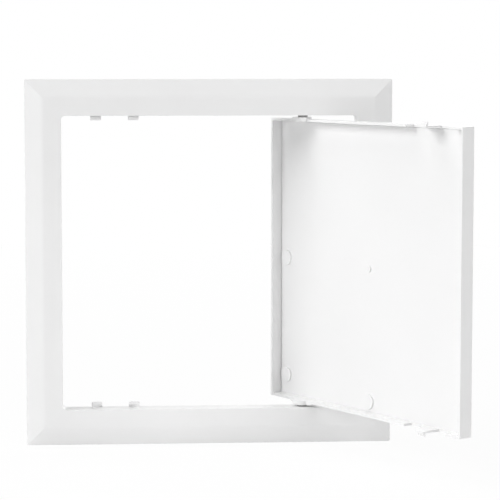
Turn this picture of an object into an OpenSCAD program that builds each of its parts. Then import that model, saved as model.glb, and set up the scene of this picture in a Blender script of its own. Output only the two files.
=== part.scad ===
// Hinged access panel for a square cut-out in a ceiling or a wall.
// +Z is up, +X is to the right and +Y goes into the wall.
// The origin is the centre of the cut-out, on the face of the wall.

/* [Cut-out and collar] */
// Width of the square cut-out that the panel is made for
cutout_w = 200; // [150:1:300]
// Gap between the collar and the cut-out on each side
cutout_gap = 2; // [1:0.25:4]
// How far the collar reaches behind the face of the wall
collar_d = 18; // [12:1:40]
// Thickness of the collar
collar_t = 1.6; // [1.2:0.1:2.4]
// Inner radius of the collar's corners
collar_r = 3; // [1:0.5:8]

/* [Bezel] */
// How far the bezel covers the wall outside the collar
cover_w = 11; // [8:0.5:20]
// Width of the sloped outer border
bevel_w = 10.5; // [6:0.5:14]
// How far the flat face stands off the wall
face_h = 4.5; // [3.5:0.25:6]
// Height of the upright edge at the foot of the slope
edge_h = 1; // [0.5:0.25:1.5]
// Thickness of the bezel's skin
skin_t = 1.8; // [1.2:0.1:2.4]
// Width of the ring that seats on the wall
seat_w = 2; // [1.5:0.1:4]
// Radius of the soft ridge between the slope and the flat face
ridge_r = 9; // [3:0.5:15]
// Radius of the bezel's outer corners
bezel_r = 1.2; // [0.5:0.1:3]

/* [Opening] */
// Width of the open channel between the collar and the lip
channel_w = 7.3; // [5:0.1:12]
// Thickness of the lip round the opening
lip_t = 1.6; // [1.2:0.1:2.4]
// Least width of lip behind the hinge pin
lip_edge = 1; // [0.8:0.1:3]
// Radius of the opening's corners
opening_r = 2.5; // [1:0.25:6]
// Thickness of the ribs across the channel
rib_t = 1.2; // [0.8:0.1:2]
// Depth of the ribs behind the face
rib_d = 8; // [5:0.5:10]
// Distance from the hinge or latch to the ribs beside it
rib_set = 26; // [10:1:30]

/* [Hinge] */
// Distance of the pins from the side of the opening
hinge_in = 31.5; // [20:0.5:45]
// Diameter of the pins
pin_dia = 5.8; // [4:0.1:7]
// How far the pin's head stands out round its shaft
head_lip = 1; // [0.6:0.1:1.6]
// Thickness of the pin's head
head_t = 2; // [1:0.1:3]
// Gap between the pin's head and the bezel's skin
head_gap = 1.8; // [0.4:0.1:2.5]
// Radial gap between a pin and its hole in the lip
pin_seat_gap = 0.02; // [0.01:0.01:0.05]
// Radial running gap between a pin and its socket in the door
pin_run_gap = 0.05; // [0.02:0.01:0.1]
// Gap between the pin's end and the floor of its socket
pin_end_gap = 0.3; // [0.1:0.05:0.6]
// Thickness of the floor of the socket
socket_floor = 0.7; // [0.5:0.1:1]
// Wall round the socket
ear_wall = 2.6; // [1.5:0.1:3.5]
// Gap between the ear and the lip
ear_gap = 1.2; // [0.5:0.1:1.6]
// Length of the flat top of the pad round the ear
pad_l = 16; // [12:1:24]
// Length of the ramp at each end of the pad
pad_ramp = 3; // [1:0.5:6]
// Angle at which the door stands open
open_angle = 122; // [90:1:150]

/* [Door] */
// Gap between the door and the lip at the top and the bottom
end_gap = 2.4; // [1.8:0.1:4]
// Least gap between the door's swinging corner and the lip
swing_gap = 0.5; // [0.3:0.1:1.5]
// Depth of the door's rim from its outer face
door_d = 8.5; // [7:0.5:14]
// Thickness of the door's panel
panel_t = 1.8; // [1.2:0.1:2.4]
// Thickness of the door's rim
rim_t = 1.5; // [1:0.1:2.2]
// Radius of the door's corners
door_r = 1; // [0.5:0.25:2]
// Width of the groove at the foot of the rim
foot_w = 0.6; // [0.3:0.1:1.2]
// Depth of the groove at the foot of the rim
foot_d = 0.4; // [0.1:0.05:0.8]
// Radius of the ejector marks on the inside
mark_r = 4.6; // [2:0.1:5]
// Depth of the ejector marks
mark_d = 0.5; // [0.1:0.05:0.8]
// Distance of the ejector marks from the edges of the door
mark_in = 7.6; // [7:0.1:14]
// Distance of the corner marks from the top and the bottom of the door
mark_end_in = 13.2; // [10:0.1:40]
// Radius of the gate mark
gate_r = 2; // [0.5:0.1:3]
// Height of the gate mark
gate_h = 1; // [0.2:0.1:1.5]

/* [Latch] */
// Distance of the latch from the side of the opening
latch_in = 31.5; // [25:0.5:45]
// Width of each snap tongue at its root
tongue_w = 13; // [7:0.5:16]
// Width of a tongue at its free end
tongue_tip_w = 6.5; // [4:0.5:7]
// Thickness of a tongue at its free end
tongue_tip_t = 1.2; // [0.8:0.1:1.5]
// Gap between a tongue and the rim on the side of the hinge
slit_in = 4; // [1:0.5:6]
// Gap between a tongue and the rim on the side of the door's corner
slit_out = 12; // [1:0.5:14]
// Height of the sill that the rim keeps below a tongue
sill_h = 1; // [0.5:0.1:2]
// Gap at the root of a tongue
root_gap = 0.2; // [0.1:0.05:0.4]
// Width of the nib on a tongue
nib_w = 5; // [3:0.5:7]
// Length of the nib along the tongue
nib_l = 2.2; // [1.5:0.1:4]
// Gap between the nib and the lip that it passes
nib_gap = 0.4; // [0.2:0.1:1]
// Gap between the nib's catch face and the back of the lip
catch_gap = 0.3; // [0.1:0.05:0.6]
// Width of each stop lug
lug_w = 6.4; // [4:0.2:10]
// Thickness of the stop lugs
lug_t = 2.2; // [1.5:0.1:4]
// How far the stop lugs reach into the opening
lug_reach = 3; // [2.8:0.1:4.5]
// Gap between the stop lugs and the sides of the tongue that passes between them
lug_gap = 1.45; // [1:0.05:3]
// Gap between the rim and the stop lugs when the door is shut
stop_gap = 0.3; // [0.1:0.05:0.6]
// Length of the pad on the rim that meets the inner lug
stop_pad_l = 7.4; // [4:0.2:10]
// Gap between that pad and the lip
stop_pad_gap = 1.3; // [0.5:0.1:1.6]

/* [Hidden] */
$fn = 48;

// Length by which a cut runs past the face that it opens
over = 1;

collar_w = cutout_w - 2 * cutout_gap;
frame_w = collar_w + 2 * cover_w;
opening_w = collar_w - 2 * (collar_t + channel_w + lip_t);
face_y = -face_h;
bevel_slope = bevel_w / (face_h - edge_h);
bevel_angle = atan(1 / bevel_slope);

pin_r = pin_dia / 2;
head_r = pin_r + head_lip;
pin_d = skin_t + head_gap + head_r;
pin_y = face_y + pin_d;
hinge_x = opening_w / 2 - hinge_in;
latch_x = latch_in - opening_w / 2;

lip_d = max(door_d + stop_gap + lug_t, pin_d + pin_r + lip_edge);
lip_back_y = face_y + lip_d;
lip_out_z = opening_w / 2 + lip_t;

// The door's front corner swings past the lip, which sets the gap at its sides
side_gap = hinge_in - sqrt(pow(hinge_in - swing_gap, 2) - pow(pin_d, 2));
door_w = opening_w - 2 * side_gap;
door_h = opening_w - 2 * end_gap;
rim_y = face_y + door_d;
panel_y = face_y + panel_t;
ear_r = pin_r + ear_wall;
ear_z = opening_w / 2 - ear_gap;
socket_z = door_h / 2 - rim_t + socket_floor;

sill_y = panel_y + sill_h;
window_start_x = latch_x - tongue_w / 2 - slit_out;
window_end_x = latch_x + tongue_w / 2 + slit_in;
lug_pitch = tongue_w + 2 * lug_gap + lug_w;
lug_y = rim_y + stop_gap;
nib_top_z = opening_w / 2 - nib_gap;
catch_y = lip_back_y + catch_gap;
tip_y = catch_y + nib_l;

// Points of the soft ridge, from the flat face out to the slope
ridge_steps = 5;
ridge_start = frame_w / 2 - bevel_w - ridge_r * tan(bevel_angle / 2);
ridge_points = [
    for (step = [0:ridge_steps])
        let (turn = bevel_angle * step / ridge_steps)
            [ridge_start + ridge_r * sin(turn), face_y + ridge_r * (1 - cos(turn))]
];

// Square with rounded corners
module rounded_square(w, h, r) {
    square([w - 2 * r, h], center = true);
    square([w, h - 2 * r], center = true);
    for (x = [-1, 1], y = [-1, 1])
        translate([x * (w / 2 - r), y * (h / 2 - r)]) circle(r);
}

// Shape seen from the front, made solid from one depth to another
module slab(near, far) {
    translate([0, far, 0]) rotate([90, 0, 0]) linear_extrude(far - near) children();
}

// Square wall round an inner space
module square_tube(inner_w, inner_r, wall, near, far) {
    slab(near, far) difference() {
        rounded_square(inner_w + 2 * wall, inner_w + 2 * wall, inner_r + wall);
        rounded_square(inner_w, inner_w, inner_r);
    }
}

// Block with one profile across its width and across its height, so that its corners are mitred
module mitred_block(profile) {
    intersection() {
        linear_extrude(2 * frame_w, center = true) polygon(profile);
        rotate([0, 90, 0]) linear_extrude(2 * frame_w, center = true) polygon(profile);
    }
}

// Profile of depth and height, drawn out along the width
module bar(w) {
    rotate([90, 0, 90]) linear_extrude(w, center = true) children();
}

// Sloped border and flat face, hollow behind, with the opening through it
module bezel_skin() {
    foot = frame_w / 2;
    hollow_foot = foot - seat_w;
    hollow_ridge = hollow_foot - (face_h - skin_t) * bevel_slope;
    difference() {
        intersection() {
            mitred_block(concat(
                [[-foot, 0], [-foot, -edge_h]],
                [for (step = [ridge_steps:-1:0]) [-ridge_points[step].x, ridge_points[step].y]],
                ridge_points,
                [[foot, -edge_h], [foot, 0]]
            ));
            slab(face_y - over, over) rounded_square(frame_w, frame_w, bezel_r);
        }
        mitred_block([
            [-hollow_foot, over], [-hollow_foot, 0], [-hollow_ridge, face_y + skin_t],
            [hollow_ridge, face_y + skin_t], [hollow_foot, 0], [hollow_foot, over]
        ]);
        slab(face_y - over, over) rounded_square(opening_w, opening_w, opening_r);
    }
}

// Lip with the two holes that seat the hinge pins
module lip() {
    difference() {
        square_tube(opening_w, opening_r, lip_t, face_y, lip_back_y);
        translate([hinge_x, pin_y, 0])
            cylinder(h = frame_w, r = pin_r + pin_seat_gap, center = true);
    }
}

// Ribs that tie the lip to the collar on all four sides
module ribs() {
    inner = opening_w / 2 + lip_t / 2;
    outer = collar_w / 2 - collar_t / 2;
    near = face_y + skin_t / 2;
    for (side = [0:90:270], x = [-hinge_x, hinge_x], offset_x = [-rib_set, rib_set])
        rotate([0, side, 0])
            translate([x + offset_x - rib_t / 2, near, inner])
                cube([rib_t, face_y + rib_d - near, outer - inner]);
}

// Lugs on both sides of each tongue, of which the inner one stops the rim
module stop_lugs() {
    inner = opening_w / 2 - lug_reach;
    for (end = [0, 1], x = [-lug_pitch / 2, lug_pitch / 2])
        mirror([0, 0, end])
            translate([latch_x + x - lug_w / 2, lug_y, inner])
                cube([lug_w, lug_t, lug_reach + lip_t / 2]);
}

module frame() {
    color("white") {
        bezel_skin();
        lip();
        square_tube(collar_w - 2 * collar_t, collar_r, collar_t, face_y + skin_t / 2, collar_d);
        ribs();
        stop_lugs();
    }
}

// Headed pin through the lip into the door's ear, drawn at the top
module hinge_pin() {
    end_z = socket_z + pin_end_gap;
    translate([hinge_x, pin_y, end_z]) cylinder(h = lip_out_z + head_t - end_z, r = pin_r);
    translate([hinge_x, pin_y, lip_out_z]) cylinder(h = head_t, r = head_r);
}

module hinge_pin_top() {
    color("gainsboro") hinge_pin();
}

module hinge_pin_bottom() {
    color("gainsboro") mirror([0, 0, 1]) hinge_pin();
}

// Turns what is drawn for the shut door to where the door stands
module on_door() {
    translate([hinge_x, pin_y, 0])
        rotate([0, 0, open_angle])
            translate([-hinge_x, -pin_y, 0]) children();
}

// Raised pad and round ear on the upper rim, round the hinge pin
module hinge_ear() {
    inner = door_h / 2 - rim_t;
    translate([hinge_x, 0, 0]) {
        slab(panel_y, rim_y) polygon([
            [-pad_l / 2 - pad_ramp, door_h / 2], [-pad_l / 2 - pad_ramp, inner],
            [pad_l / 2 + pad_ramp, inner], [pad_l / 2 + pad_ramp, door_h / 2],
            [pad_l / 2, ear_z], [-pad_l / 2, ear_z]
        ]);
        intersection() {
            translate([0, pin_y, inner]) cylinder(h = ear_z - inner, r = ear_r);
            translate([-ear_r, panel_y, inner]) cube([2 * ear_r, 2 * ear_r + pin_d, ear_z - inner]);
        }
    }
}

// Pad on the upper rim, beside the window, that meets the inner stop lug
module stop_pad() {
    inner = door_h / 2 - rim_t;
    translate([window_end_x, panel_y, inner])
        cube([stop_pad_l, rim_y - panel_y, opening_w / 2 - stop_pad_gap - inner]);
}

// Panel with its rim, open on the inside, with a window for each tongue
module door_tray() {
    tray = [door_w - 2 * rim_t, door_h - 2 * rim_t];
    difference() {
        slab(face_y, rim_y) rounded_square(door_w, door_h, door_r);
        slab(panel_y, rim_y + over) square(tray, center = true);
        slab(panel_y - foot_d, panel_y + over) difference() {
            square(tray, center = true);
            square(tray - 2 * [foot_w, foot_w], center = true);
        }
        translate([window_start_x, sill_y, -door_h])
            cube([window_end_x - window_start_x, door_d, 2 * door_h]);
    }
}

// Round marks of the ejectors, three along each side of the panel
module ejector_marks() {
    side_x = door_w / 2 - mark_in;
    end_z = door_h / 2 - mark_in;
    corner_z = door_h / 2 - mark_end_in;
    places = concat(
        [for (x = [-side_x, side_x], z = [-corner_z, 0, corner_z]) [x, z]],
        [for (z = [-end_z, end_z]) [0, z]]
    );
    slab(panel_y - mark_d, panel_y + over)
        for (place = places) translate(place) circle(mark_r);
}

module door() {
    color("white") on_door() {
        difference() {
            union() {
                door_tray();
                for (end = [0, 1])
                    mirror([0, 0, end]) {
                        hinge_ear();
                        stop_pad();
                    }
            }
            for (end = [0, 1])
                mirror([0, 0, end]) translate([hinge_x, pin_y, socket_z])
                    cylinder(h = frame_w, r = pin_r + pin_run_gap);
            ejector_marks();
        }
        slab(panel_y - panel_t / 2, panel_y + gate_h) circle(gate_r);
    }
}

// Tongue that narrows and thins to its free end, straight on the side of the door's corner,
// with a nib that passes the lip and catches behind it, drawn at the top
module latch_tongue() {
    outer = door_h / 2;
    root_y = sill_y + root_gap;
    straight_x = latch_x - tongue_w / 2;
    intersection() {
        translate([latch_x, 0, 0]) bar(tongue_w) polygon([
            [root_y, outer - rim_t], [tip_y, outer - tongue_tip_t], [tip_y, outer], [root_y, outer]
        ]);
        translate([straight_x, 0, 0]) linear_extrude(opening_w) polygon([
            [0, root_y], [tongue_w, root_y], [tongue_tip_w, tip_y], [0, tip_y]
        ]);
    }
    translate([straight_x + tongue_tip_w / 2, 0, 0]) bar(nib_w) polygon([
        [catch_y, outer - tongue_tip_t / 2], [catch_y, nib_top_z],
        [catch_y + nib_l / 3, nib_top_z], [tip_y, outer], [tip_y, outer - tongue_tip_t / 2]
    ]);
}

module latch_tongue_top() {
    color("white") on_door() latch_tongue();
}

module latch_tongue_bottom() {
    color("white") on_door() mirror([0, 0, 1]) latch_tongue();
}

frame();
hinge_pin_top();
hinge_pin_bottom();
door();
latch_tongue_top();
latch_tongue_bottom();
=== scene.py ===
"""Looks of a hinged access panel: softened mouldings, their plastics, soft studio light, the camera."""

import logging
import math
from dataclasses import dataclass
from enum import Enum
from typing import Any, ClassVar

import bmesh
import bpy
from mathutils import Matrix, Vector


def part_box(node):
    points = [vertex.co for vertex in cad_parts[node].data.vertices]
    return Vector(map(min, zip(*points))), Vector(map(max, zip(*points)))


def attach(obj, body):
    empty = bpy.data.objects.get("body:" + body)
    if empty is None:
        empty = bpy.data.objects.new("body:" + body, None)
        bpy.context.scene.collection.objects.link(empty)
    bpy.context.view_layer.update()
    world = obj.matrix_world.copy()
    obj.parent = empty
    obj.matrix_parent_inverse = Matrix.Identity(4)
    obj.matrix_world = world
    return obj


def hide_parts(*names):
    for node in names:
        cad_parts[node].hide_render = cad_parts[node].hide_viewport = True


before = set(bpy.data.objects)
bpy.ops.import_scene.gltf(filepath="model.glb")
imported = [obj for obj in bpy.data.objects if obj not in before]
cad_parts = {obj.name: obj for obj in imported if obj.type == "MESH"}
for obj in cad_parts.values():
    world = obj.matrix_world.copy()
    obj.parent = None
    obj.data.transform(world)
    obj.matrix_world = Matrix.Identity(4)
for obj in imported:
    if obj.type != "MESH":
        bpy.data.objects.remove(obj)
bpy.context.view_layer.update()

log = logging.getLogger("access_panel")

MM = 0.001
UP = Vector((0, 0, 1))
PURE_WHITE = "#FFFFFF"


class Body(str, Enum):
    """Moving bodies of the panel."""

    FRAME = "frame"
    DOOR = "door"
    TONGUE_TOP = "latch_tongue_top"
    TONGUE_BOTTOM = "latch_tongue_bottom"


class Slot(str, Enum):
    """Material slots of the panel's record."""

    FRAME = "frame_plastic"
    DOOR = "door_plastic"
    PIN = "pin_plastic"


def linear(hex_colour: str) -> tuple[float, float, float, float]:
    """Turns an sRGB hex colour into linear light.

    Args:
        hex_colour: Six hex digits, with or without a leading hash.

    Returns:
        Red, green, blue and an alpha of 1, in linear light.
    """
    digits = hex_colour.lstrip("#")
    channels = [int(digits[i:i + 2], 16) / 255 for i in (0, 2, 4)]
    red, green, blue = [c / 12.92 if c <= 0.04045 else ((c + 0.055) / 1.055) ** 2.4 for c in channels]
    return (red, green, blue, 1.0)


def add_node(tree: bpy.types.NodeTree, kind: str, inputs: dict[str | int, Any] | None = None,
             **settings: Any) -> bpy.types.Node:
    """Adds a node, sets its properties and fills or links its inputs.

    Args:
        tree: Node tree that takes the node.
        kind: Blender's name for the node type.
        inputs: Value or output socket for each named or numbered input.
        **settings: Properties of the node itself.

    Returns:
        The new node.
    """
    node = tree.nodes.new(kind)
    for name, value in settings.items():
        setattr(node, name, value)
    for name, value in (inputs or {}).items():
        if isinstance(value, bpy.types.NodeSocket):
            tree.links.new(value, node.inputs[name])
        else:
            node.inputs[name].default_value = value
    return node


@dataclass(frozen=True)
class MouldedPlastic:
    """Injection-moulded thermoplastic with a spark-eroded satin skin.

    The eye gets a broad soft sheen, a faint grain where the light grazes it, and a slow unevenness in
    gloss and tone where the melt flowed and the wall cooled.
    """

    name: str
    colour: str
    shade: str
    roughness: float
    roughness_spread: float
    grain_mm: float
    grain_depth_mm: float
    flow_mm: float
    flow_depth_mm: float
    ior: float = 1.54
    grain_detail: ClassVar[float] = 3.0
    grain_roughness: ClassVar[float] = 0.6
    flow_detail: ClassVar[float] = 2.0
    flow_roughness: ClassVar[float] = 0.45
    flow_span: ClassVar[tuple[float, float]] = (0.3, 0.7)

    def material(self) -> bpy.types.Material:
        """Builds the node material.

        Returns:
            The finished material.
        """
        made = bpy.data.materials.new(self.name)
        made.use_nodes = True
        tree = made.node_tree
        tree.nodes.clear()
        place = add_node(tree, "ShaderNodeTexCoord").outputs["Object"]
        flow = add_node(
            tree, "ShaderNodeTexNoise",
            {
                "Vector": place, "Scale": 1 / (self.flow_mm * MM),
                "Detail": self.flow_detail, "Roughness": self.flow_roughness,
            },
        ).outputs["Fac"]
        grain = add_node(
            tree, "ShaderNodeTexNoise",
            {
                "Vector": place, "Scale": 1 / (self.grain_mm * MM),
                "Detail": self.grain_detail, "Roughness": self.grain_roughness,
            },
        ).outputs["Fac"]
        # Sockets 6 and 7 and output 2 are the mix node's colours.
        tone = add_node(
            tree, "ShaderNodeMix",
            {"Factor": flow, 6: linear(self.shade), 7: linear(self.colour)},
            data_type="RGBA",
        ).outputs[2]
        gloss = add_node(
            tree, "ShaderNodeMapRange",
            {
                "Value": flow, "From Min": self.flow_span[0], "From Max": self.flow_span[1],
                "To Min": self.roughness - self.roughness_spread,
                "To Max": self.roughness + self.roughness_spread,
            },
        ).outputs["Result"]
        waves = add_node(
            tree, "ShaderNodeBump",
            {"Strength": 1.0, "Distance": self.flow_depth_mm * MM, "Height": flow},
        ).outputs["Normal"]
        skin = add_node(
            tree, "ShaderNodeBump",
            {"Strength": 1.0, "Distance": self.grain_depth_mm * MM, "Height": grain, "Normal": waves},
        ).outputs["Normal"]
        shader = add_node(
            tree, "ShaderNodeBsdfPrincipled",
            {"Base Color": tone, "Roughness": gloss, "Normal": skin, "IOR": self.ior},
        ).outputs["BSDF"]
        add_node(tree, "ShaderNodeOutputMaterial", {"Surface": shader})
        return made


# White ABS as moulded: satin, with a fine spark-erosion grain that is drawn coarser than real to show.
FRAME_ABS = MouldedPlastic(
    "satin_white_abs_frame", colour="#F1F1F1", shade="#EEEEEE", roughness=0.42, roughness_spread=0.05,
    grain_mm=0.9, grain_depth_mm=0.0015, flow_mm=38, flow_depth_mm=0.02,
)
# The door's ABS has a fainter grain and a little more gloss than the frame's.
DOOR_ABS = MouldedPlastic(
    "satin_white_abs_door", colour="#F2F2F2", shade="#EFEFEF", roughness=0.38, roughness_spread=0.05,
    grain_mm=0.9, grain_depth_mm=0.0006, flow_mm=45, flow_depth_mm=0.03,
)
# Grey acetal as moulded: smoother and a little waxy.
PIN_ACETAL = MouldedPlastic(
    "grey_acetal_pin", colour="#C8C8C8", shade="#C1C1C1", roughness=0.34, roughness_spread=0.04,
    grain_mm=0.6, grain_depth_mm=0.002, flow_mm=6, flow_depth_mm=0.004, ior=1.48,
)


def is_outer_edge(edge: bmesh.types.BMEdge, angle: float) -> bool:
    """Tells whether two faces meet at an outward edge by more than an angle in radians."""
    return len(edge.link_faces) == 2 and edge.calc_face_angle_signed(0.0) > angle


def edge_chains(edges: list[bmesh.types.BMEdge]) -> list[list[bmesh.types.BMEdge]]:
    """Sorts edges into chains whose edges share corners.

    Args:
        edges: Edges of one mesh.

    Returns:
        One list of edges for each chain.
    """
    waiting = dict.fromkeys(edges)
    chains = []
    while waiting:
        chain = [next(iter(waiting))]
        del waiting[chain[0]]
        for edge in chain:
            beside = [other for corner in edge.verts for other in corner.link_edges if other in waiting]
            for other in dict.fromkeys(beside):
                del waiting[other]
                chain.append(other)
        chains.append(chain)
    return chains


@dataclass(frozen=True)
class MouldEdge:
    """Small radius that a mould leaves on outer edges.

    Inner corners stay crisp, because the core of the mould has crisp edges there.
    """

    radius_mm: float
    segments: int = 3
    sharp_deg: float = 12.0

    def soften(self, mesh: bmesh.types.BMesh) -> None:
        """Rounds the outer edges, chain by chain, so that a tight spot holds back only its own chain.

        Args:
            mesh: Closed skin, which is changed.
        """
        edges = [edge for edge in mesh.edges if is_outer_edge(edge, math.radians(self.sharp_deg))]
        for chain in edge_chains(edges):
            bmesh.ops.bevel(
                mesh, geom=chain, offset=self.radius_mm * MM, offset_type="OFFSET",
                segments=self.segments, profile=0.5, affect="EDGES", clamp_overlap=True, material=-1,
            )


@dataclass(frozen=True)
class Moulding:
    """A moulded piece that stands for one solid and rides on that solid's body."""

    node: str
    body: Body
    slot: Slot
    edge: MouldEdge
    merge_mm: ClassVar[float] = 0.002
    flat_deg: ClassVar[float] = 0.2
    smooth_deg: ClassVar[float] = 40.0

    def close_skin(self, mesh: bmesh.types.BMesh) -> None:
        """Merges corners that meet and takes out the lines across flat faces.

        Args:
            mesh: Copy of the solid, which is changed.
        """
        bmesh.ops.remove_doubles(mesh, verts=mesh.verts, dist=self.merge_mm * MM)
        bmesh.ops.dissolve_limit(
            mesh, angle_limit=math.radians(self.flat_deg), verts=mesh.verts, edges=mesh.edges,
        )

    def copy_solid(self) -> bmesh.types.BMesh:
        """Copies the solid as one closed skin.

        Returns:
            The copy, which the caller hands to finish.
        """
        mesh = bmesh.new()
        mesh.from_mesh(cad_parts[self.node].data)
        self.close_skin(mesh)
        return mesh

    def finish(self, mesh: bmesh.types.BMesh, material: bpy.types.Material) -> bpy.types.Object:
        """Softens the copy, dresses it and seats it on its body.

        Args:
            mesh: Copy of the solid, which is used up.
            material: Plastic that the piece is moulded in.

        Returns:
            The piece that stands for the solid.
        """
        self.edge.soften(mesh)
        bmesh.ops.remove_doubles(mesh, verts=mesh.verts, dist=self.merge_mm * MM)
        name = f"{self.node}_moulding"
        data = bpy.data.meshes.new(name)
        mesh.to_mesh(data)
        mesh.free()
        data.shade_smooth()
        data.set_sharp_from_angle(angle=math.radians(self.smooth_deg))
        data.materials.append(material)
        piece = bpy.data.objects.new(name, data)
        bpy.context.scene.collection.objects.link(piece)
        piece.modifiers.new("even_normals", "WEIGHTED_NORMAL").keep_sharp = True
        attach(piece, self.body.value)
        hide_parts(self.node)
        log.info("%s: %d faces", name, len(data.polygons))
        return piece


@dataclass(frozen=True)
class BezelFrame:
    """Frame of the panel: bezel, lip, collar and stop lugs in one, and the two pins of the door."""

    bezel_edge: MouldEdge = MouldEdge(0.3)
    pin_edge: MouldEdge = MouldEdge(0.25)
    plastic: MouldedPlastic = FRAME_ABS
    pin_plastic: MouldedPlastic = PIN_ACETAL

    def build_bezel(self) -> bpy.types.Object:
        """Builds the bezel and dresses it in white plastic."""
        bezel = Moulding("frame", Body.FRAME, Slot.FRAME, self.bezel_edge)
        return bezel.finish(bezel.copy_solid(), self.plastic.material())

    def build_pins(self) -> list[bpy.types.Object]:
        """Builds the two headed pins and dresses them in grey plastic.

        Returns:
            The upper and the lower pin.
        """
        material = self.pin_plastic.material()
        pins = [
            Moulding(f"hinge_pin_{end}", Body.FRAME, Slot.PIN, self.pin_edge)
            for end in ("top", "bottom")
        ]
        return [pin.finish(pin.copy_solid(), material) for pin in pins]

    def build(self) -> list[bpy.types.Object]:
        """Builds all pieces that stay with the frame."""
        return [self.build_bezel(), *self.build_pins()]


@dataclass(frozen=True)
class HingeAxes:
    """The door's own directions at its upper pin, with the height of that pin's lower end."""

    pin: Vector
    pin_end: float
    inward: Vector
    latchward: Vector

    @classmethod
    def facing(cls, inward: Vector) -> "HingeAxes":
        """Finds the axes for a door whose inside faces a direction.

        Args:
            inward: Direction that the inside of the tray faces.

        Returns:
            The axes at the upper pin.
        """
        lowest, highest = (Vector(corner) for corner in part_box("hinge_pin_top"))
        return cls((lowest + highest) / 2, lowest.z, inward, UP.cross(inward))

    def along(self, corner: bmesh.types.BMVert) -> float:
        """Gives a corner's distance from the pin towards the latch."""
        return (corner.co - self.pin).dot(self.latchward)

    def depth(self, corner: bmesh.types.BMVert) -> float:
        """Gives a corner's distance from the pin towards the inside."""
        return (corner.co - self.pin).dot(self.inward)


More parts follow.
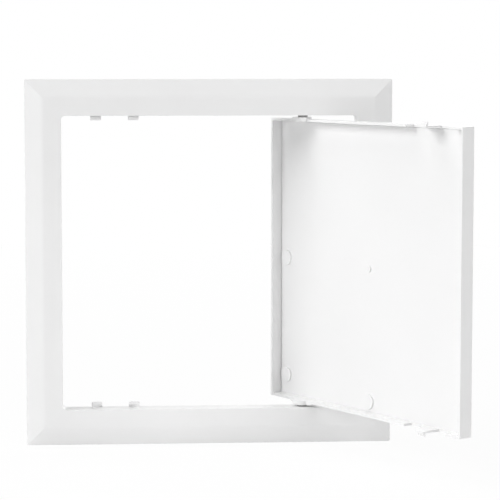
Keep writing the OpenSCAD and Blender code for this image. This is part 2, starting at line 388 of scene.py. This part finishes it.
@dataclass(frozen=True)
class TrayDoor:
    """Door of the panel: a shallow tray with its hinge ears, and the two snap tongues of the latch.

    The solid has its ejector marks as shallow recesses all round. In the photo those from mid-height
    down stand proud and none shows above, so their floors are lifted here to stand proud or to lie
    flush. The groove at the foot of the rim is filled along the lower side, where the photo shows none.
    The upper ear's pad ends close beside the pin, and the latch windows reach further towards the hinge
    than in the solid, with no pad beside them.
    """

    tray_edge: MouldEdge = MouldEdge(0.25)
    tongue_edge: MouldEdge = MouldEdge(0.2)
    plastic: MouldedPlastic = DOOR_ABS
    # Ejector marks
    mark_depth_mm: float = 0.5
    mark_rise_mm: float = 1.0
    marks_up_to_mm: float = 20.0
    # Groove at the foot of the rim
    groove_depth_mm: float = 0.4
    groove_end_mm: float = 2.5
    # Upper ear: distances from the pin towards the latch, and the two slopes of its ramp
    pad_reach_mm: tuple[float, float] = (7.0, 12.0)
    pad_corner_mm: float = 8.0
    trimmed_corner_mm: float = 6.2
    trimmed_ramp: float = 1 / 3
    trimmed_slant: float = 0.7
    # Latch windows: distances from the pin, the shift of their ends, and the rim's two face heights
    stop_pad_mm: tuple[float, float] = (93.0, 103.0)
    window_end_mm: float = 100.0
    window_shift_mm: float = 6.2
    rim_face_mm: tuple[float, float] = (83.6, 85.1)
    # Largest step that counts as level, and least cosine that counts as facing the same way
    level_mm: ClassVar[float] = 0.05
    facing_least: ClassVar[float] = 0.999

    def deepest_floors(self, mesh: bmesh.types.BMesh) -> tuple[list[bmesh.types.BMFace], Vector]:
        """Finds the deepest faces on the inside of the tray.

        Args:
            mesh: Copy of the tray's solid.

        Returns:
            The faces, and the direction out of the tray that they face.
        """
        outside = max(mesh.faces, key=lambda face: face.calc_area())
        origin = outside.calc_center_median()
        inward = -outside.normal
        heights = {
            face: (face.calc_center_median() - origin).dot(inward)
            for face in mesh.faces if face.normal.dot(inward) > self.facing_least
        }
        limit = min(heights.values()) + self.level_mm * MM
        return [face for face, height in heights.items() if height < limit], inward

    def lift_marks(self, mesh: bmesh.types.BMesh) -> None:
        """Lifts the floors of the ejector marks, which lie deeper than the groove.

        Args:
            mesh: Copy of the tray's solid, which is changed.
        """
        floors, inward = self.deepest_floors(mesh)
        for floor in floors:
            proud = floor.calc_center_median().z < self.marks_up_to_mm * MM
            lift = self.mark_depth_mm + (self.mark_rise_mm if proud else 0.0)
            bmesh.ops.translate(mesh, verts=floor.verts, vec=inward * (lift * MM))

    def fill_lower_groove(self, mesh: bmesh.types.BMesh) -> None:
        """Brings the groove's floor level with the panel along the lower side, up to a short way round.

        Args:
            mesh: Copy of the tray's solid with its marks lifted, which is changed.
        """
        floors, inward = self.deepest_floors(mesh)
        lowest = min(corner.co.z for floor in floors for corner in floor.verts)
        cut = lowest + self.groove_end_mm * MM
        everything = [*mesh.verts, *mesh.edges, *mesh.faces]
        bmesh.ops.bisect_plane(mesh, geom=everything, plane_co=(0, 0, cut), plane_no=UP)
        floors, inward = self.deepest_floors(mesh)
        below = cut - self.level_mm * MM
        low = dict.fromkeys(corner for floor in floors for corner in floor.verts if corner.co.z < below)
        bmesh.ops.translate(mesh, verts=list(low), vec=inward * (self.groove_depth_mm * MM))

    def trim_upper_ear(self, mesh: bmesh.types.BMesh) -> None:
        """Cuts the latch side of the upper ear's pad back to a short slanted ramp beside the pin.

        Args:
            mesh: Copy of the tray's solid, which is changed.
        """
        axes = HingeAxes.facing(self.deepest_floors(mesh)[1])
        nearest, farthest = (reach * MM for reach in self.pad_reach_mm)
        ramp = [
            corner for corner in mesh.verts
            if corner.co.z > axes.pin_end and nearest < axes.along(corner) < farthest
        ]
        front = max(axes.depth(corner) for corner in ramp)
        for corner in ramp:
            now = axes.along(corner)
            run = (now - self.pad_corner_mm * MM) * self.trimmed_ramp
            slant = (front - axes.depth(corner)) * self.trimmed_slant
            trimmed = self.trimmed_corner_mm * MM + run - slant
            bmesh.ops.translate(mesh, verts=[corner], vec=axes.latchward * (trimmed - now))

    def widen_windows(self, mesh: bmesh.types.BMesh) -> None:
        """Moves the latch windows' inner ends towards the hinge and takes the stop pads down to the rim.

        Args:
            mesh: Copy of the tray's solid, which is changed.
        """
        axes = HingeAxes.facing(self.deepest_floors(mesh)[1])
        nearest, farthest = (reach * MM for reach in self.stop_pad_mm)
        inner, outer = (face * MM for face in self.rim_face_mm)
        level = self.level_mm * MM
        ends = [
            corner for corner in mesh.verts
            if abs(corner.co.z) > inner - level and nearest < axes.along(corner) < farthest
        ]
        floor = min(axes.depth(corner) for corner in ends if abs(corner.co.z) < outer - level)
        for corner in ends:
            rise = max(abs(corner.co.z) - outer, 0.0)
            move = UP * -math.copysign(rise, corner.co.z)
            if axes.along(corner) > self.window_end_mm * MM:
                move -= axes.latchward * (self.window_shift_mm * MM)
                move += axes.inward * max(floor - axes.depth(corner), 0.0)
            bmesh.ops.translate(mesh, verts=[corner], vec=move)

    def build_tray(self) -> bpy.types.Object:
        """Builds the tray with its marks, ears and windows and dresses it in white plastic.

        Returns:
            The tray's piece.
        """
        tray = Moulding("door", Body.DOOR, Slot.DOOR, self.tray_edge)
        mesh = tray.copy_solid()
        self.lift_marks(mesh)
        self.fill_lower_groove(mesh)
        self.trim_upper_ear(mesh)
        self.widen_windows(mesh)
        tray.close_skin(mesh)
        return tray.finish(mesh, self.plastic.material())

    def build_tongues(self, material: bpy.types.Material) -> list[bpy.types.Object]:
        """Builds the two snap tongues.

        Args:
            material: Plastic of the tray, with which the tongues are moulded in one.

        Returns:
            The upper and the lower tongue.
        """
        tongues = [
            Moulding(body.value, body, Slot.DOOR, self.tongue_edge)
            for body in (Body.TONGUE_TOP, Body.TONGUE_BOTTOM)
        ]
        return [tongue.finish(tongue.copy_solid(), material) for tongue in tongues]

    def build(self) -> list[bpy.types.Object]:
        """Builds the tray and its tongues."""
        tray = self.build_tray()
        return [tray, *self.build_tongues(tray.data.materials[0])]


@dataclass(frozen=True)
class StudioLamp:
    """Soft box, or a white board that throws light back, turned to the middle of the panel."""

    name: str
    place: tuple[float, float, float]
    power: float
    width: float = 1.5
    height: float = 1.5

    def build(self, aim: Vector) -> bpy.types.Object:
        """Makes the lamp and turns it to a point.

        Args:
            aim: Point that the lamp faces.

        Returns:
            The lamp's object.
        """
        light = bpy.data.lights.new(self.name, "AREA")
        light.shape = "RECTANGLE"
        light.size = self.width
        light.size_y = self.height
        light.energy = self.power
        lamp = bpy.data.objects.new(self.name, light)
        lamp.location = self.place
        lamp.rotation_euler = (aim - Vector(self.place)).to_track_quat("-Z", "Y").to_euler()
        bpy.context.scene.collection.objects.link(lamp)
        return lamp


@dataclass(frozen=True)
class Studio:
    """White studio: pale floor, even fill from all round and soft lamps."""

    floor_drop: float = 0.1094
    floor_side: float = 12.0
    floor_colour: str = "#F4F4F4"
    floor_white_near: float = 0.94
    floor_fade: tuple[float, float] = (0.3, 1.2)
    fill: float = 0.195
    aim: tuple[float, float, float] = (0.03, -0.03, 0.0)
    lamps: tuple[StudioLamp, ...] = (
        StudioLamp("key_lamp", (-2.46, -0.81, 1.5), power=51.5),
        StudioLamp("fill_lamp", (1.79, -2.24, 0.89), power=28.0),
        StudioLamp("top_lamp", (-0.9, 0.38, 2.84), power=29.3),
        StudioLamp("back_lamp", (1.3, 2.5, 1.0), power=28.0),
        StudioLamp("table_board", (0.0, -0.17, -0.1), power=0.0175, width=0.2, height=0.02),
    )

    @staticmethod
    def seen_straight(tree: bpy.types.NodeTree) -> bpy.types.NodeSocket:
        """Tells rays that show the background itself: to the camera, in gloss and through glass.

        Args:
            tree: Node tree that takes the nodes.

        Returns:
            Socket that gives 1 for such rays and 0 for the others.
        """
        rays = add_node(tree, "ShaderNodeLightPath").outputs
        gloss = add_node(
            tree, "ShaderNodeMath",
            {0: rays["Is Camera Ray"], 1: rays["Is Glossy Ray"]}, operation="MAXIMUM",
        ).outputs[0]
        return add_node(
            tree, "ShaderNodeMath",
            {0: gloss, 1: rays["Is Transmission Ray"]}, operation="MAXIMUM",
        ).outputs[0]

    def build_world(self) -> None:
        """Lights the panel evenly from all round and shows plain white behind it."""
        world = bpy.data.worlds.new("studio_world")
        world.use_nodes = True
        tree = world.node_tree
        tree.nodes.clear()
        white = linear(PURE_WHITE)
        fill = add_node(tree, "ShaderNodeBackground", {"Color": white, "Strength": self.fill})
        backdrop = add_node(tree, "ShaderNodeBackground", {"Color": white, "Strength": 1.0})
        both = add_node(
            tree, "ShaderNodeMixShader",
            {0: self.seen_straight(tree), 1: fill.outputs[0], 2: backdrop.outputs[0]},
        )
        add_node(tree, "ShaderNodeOutputWorld", {"Surface": both.outputs[0]})
        bpy.context.scene.world = world

    def floor_paper(self) -> bpy.types.Material:
        """Makes the matt white paper of the floor, which turns to plain white away from the panel.

        Returns:
            The floor's material.
        """
        paper = bpy.data.materials.new("white_paper_floor")
        paper.use_nodes = True
        tree = paper.node_tree
        tree.nodes.clear()
        matt = add_node(tree, "ShaderNodeBsdfDiffuse", {"Color": linear(self.floor_colour)})
        white = add_node(tree, "ShaderNodeEmission", {"Color": linear(PURE_WHITE), "Strength": 1.0})
        place = add_node(tree, "ShaderNodeTexCoord").outputs["Object"]
        away = add_node(tree, "ShaderNodeVectorMath", {0: place}, operation="LENGTH").outputs["Value"]
        whiteness = add_node(
            tree, "ShaderNodeMapRange",
            {
                "Value": away, "From Min": self.floor_fade[0], "From Max": self.floor_fade[1],
                "To Min": self.floor_white_near, "To Max": 1.0,
            },
        ).outputs["Result"]
        share = add_node(
            tree, "ShaderNodeMath", {0: self.seen_straight(tree), 1: whiteness}, operation="MULTIPLY",
        )
        both = add_node(
            tree, "ShaderNodeMixShader", {0: share.outputs[0], 1: matt.outputs[0], 2: white.outputs[0]},
        )
        add_node(tree, "ShaderNodeOutputMaterial", {"Surface": both.outputs[0]})
        return paper

    def build_floor(self) -> bpy.types.Object:
        """Makes the pale floor that the panel stands on.

        Returns:
            The floor's object.
        """
        mesh = bmesh.new()
        bmesh.ops.create_grid(mesh, x_segments=1, y_segments=1, size=self.floor_side / 2)
        bmesh.ops.translate(mesh, verts=mesh.verts, vec=UP * -self.floor_drop)
        data = bpy.data.meshes.new("studio_floor")
        mesh.to_mesh(data)
        mesh.free()
        data.materials.append(self.floor_paper())
        floor = bpy.data.objects.new("studio_floor", data)
        bpy.context.scene.collection.objects.link(floor)
        return floor

    def build(self) -> None:
        """Builds the world, the floor and the lamps."""
        bpy.context.scene.view_settings.view_transform = "Standard"
        self.build_world()
        self.build_floor()
        for lamp in self.lamps:
            lamp.build(Vector(self.aim))
            log.info("%s lit", lamp.name)


@dataclass(frozen=True)
class ViewCamera:
    """Camera a little above the panel, turned slightly down and right, with a small lens shift."""

    place: tuple[float, float, float] = (-0.060, -1.1733, 0.1281)
    down_deg: float = 4.713
    right_deg: float = 3.387
    lens_mm: float = 142.7
    sensor_mm: float = 36.0
    shift_x: float = 0.05
    shift_y: float = -0.08

    def build(self) -> bpy.types.Object:
        """Makes the camera and sets it as the scene's camera.

        Returns:
            The camera's object.
        """
        data = bpy.data.cameras.new("view_camera")
        data.lens = self.lens_mm
        data.sensor_width = self.sensor_mm
        data.shift_x = self.shift_x
        data.shift_y = self.shift_y
        data.dof.use_dof = False
        camera = bpy.data.objects.new("view_camera", data)
        camera.location = self.place
        camera.rotation_euler = (math.radians(90 - self.down_deg), 0.0, -math.radians(self.right_deg))
        bpy.context.scene.collection.objects.link(camera)
        bpy.context.scene.camera = camera
        return camera


def main() -> None:
    """Builds the camera, the studio and the panel's pieces in order."""
    logging.basicConfig(level=logging.INFO, format="%(name)s: %(message)s")
    ViewCamera().build()
    Studio().build()
    for assembly in (BezelFrame(), TrayDoor()):
        pieces = assembly.build()
        log.info("%s: %d pieces", type(assembly).__name__, len(pieces))


if __name__ == "__main__":
    main()
